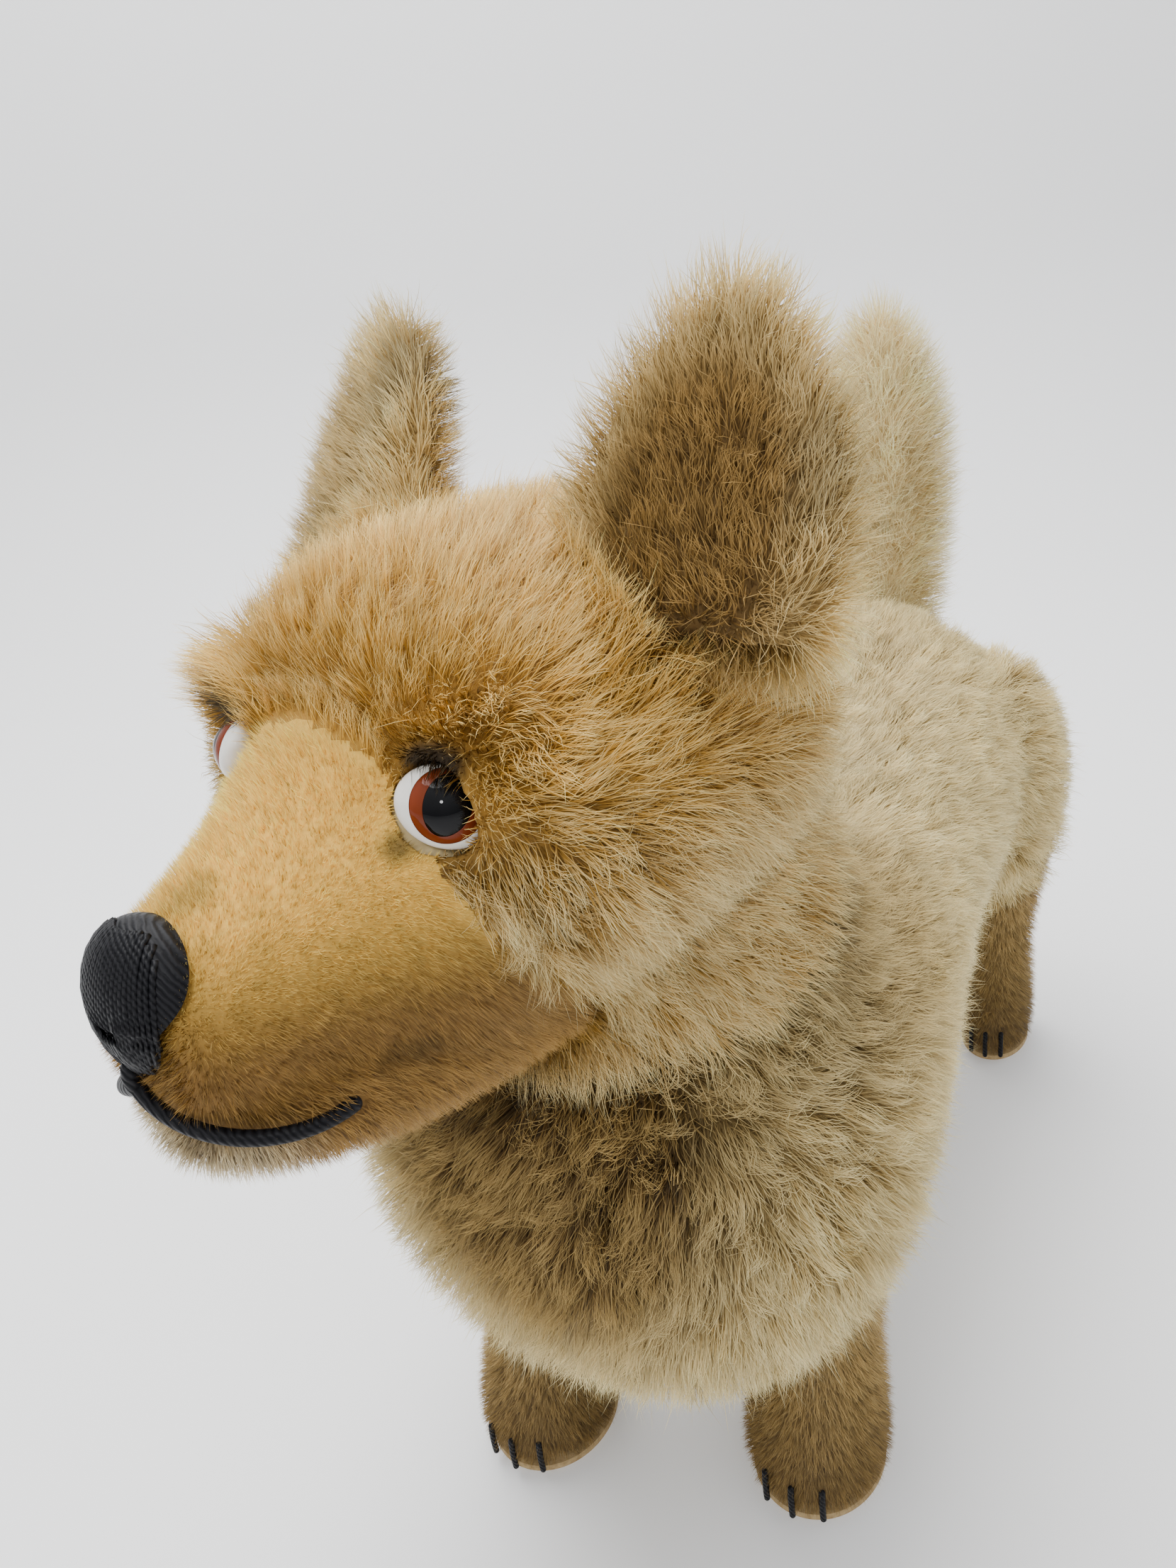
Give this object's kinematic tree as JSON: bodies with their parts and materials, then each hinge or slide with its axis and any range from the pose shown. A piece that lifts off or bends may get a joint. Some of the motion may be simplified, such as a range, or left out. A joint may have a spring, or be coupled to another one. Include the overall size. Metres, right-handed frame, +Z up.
{
  "type": "jointed plush dog",
  "caption": "Standing plush toy dog with a turning head on a disc joint, straight sewn legs, erect ears, stitched nose and glass eyes.",
  "frame": {"origin": "on the ground under the middle of the dog, at the bottom centre of its bounding box", "axes": "+Z up, -Y the way the dog faces, +X the dog's left"},
  "size_m": [0.1314, 0.3503, 0.2907],
  "materials": {
    "long_mohair": "long curled pile, golden with cream tips",
    "short_mohair": "short upright pile, golden tan",
    "stuffing": "matted wood wool and cotton",
    "sole_felt": "pressed wool felt",
    "board": "pressed board",
    "steel_wire": "drawn steel",
    "black_thread": "satin-stitched thread",
    "white_glass": "polished milk glass",
    "brown_glass": "polished brown glass",
    "black_glass": "polished black glass",
    "ear_mohair": "long pile with the woven backing showing"
  },
  "bodies": {
    "torso": {"belly_seam_stitches": "black_thread", "body_cover": "long_mohair", "body_stuffing": "stuffing", "front_leg_wire": "steel_wire", "hind_leg_wire": "steel_wire", "left_front_claw_stitches": "black_thread", "left_front_leg_cover": "short_mohair", "left_front_leg_stuffing": "stuffing", "left_front_sole_board": "board", "left_front_sole_pad": "sole_felt", "left_haunch_cover": "long_mohair", "left_haunch_stuffing": "stuffing", "left_hind_claw_stitches": "black_thread", "left_hind_leg_cover": "short_mohair", "left_hind_leg_stuffing": "stuffing", "left_hind_sole_board": "board", "left_hind_sole_pad": "sole_felt", "neck_body_disc": "board", "neck_body_washer": "steel_wire", "right_front_claw_stitches": "black_thread", "right_front_leg_cover": "short_mohair", "right_front_leg_stuffing": "stuffing", "right_front_sole_board": "board", "right_front_sole_pad": "sole_felt", "right_haunch_cover": "long_mohair", "right_haunch_stuffing": "stuffing", "right_hind_claw_stitches": "black_thread", "right_hind_leg_cover": "short_mohair", "right_hind_leg_stuffing": "stuffing", "right_hind_sole_board": "board", "right_hind_sole_pad": "sole_felt", "tail_cover": "long_mohair", "tail_stuffing": "stuffing", "tail_wire": "steel_wire"},
    "head": {"head_cover": "long_mohair", "head_stuffing": "stuffing", "jaw_cover": "short_mohair", "left_ear_back": "ear_mohair", "left_ear_lining": "ear_mohair", "left_eye_iris": "brown_glass", "left_eye_pupil": "black_glass", "left_eye_white": "white_glass", "left_eye_wire": "steel_wire", "mouth_stitching": "black_thread", "muzzle_cover": "short_mohair", "neck_cotter_pin": "steel_wire", "neck_head_disc": "board", "neck_head_washer": "steel_wire", "nose_stitching": "black_thread", "right_ear_back": "ear_mohair", "right_ear_lining": "ear_mohair", "right_eye_iris": "brown_glass", "right_eye_pupil": "black_glass", "right_eye_white": "white_glass", "right_eye_wire": "steel_wire"}
  },
  "joints": [
    {"name": "neck_turn", "type": "hinge", "parent": "torso", "child": "head", "pos_m": [0, -0.068, 0.17], "axis": [0, -0.4226, 0.9063], "continuous": true}
  ]
}
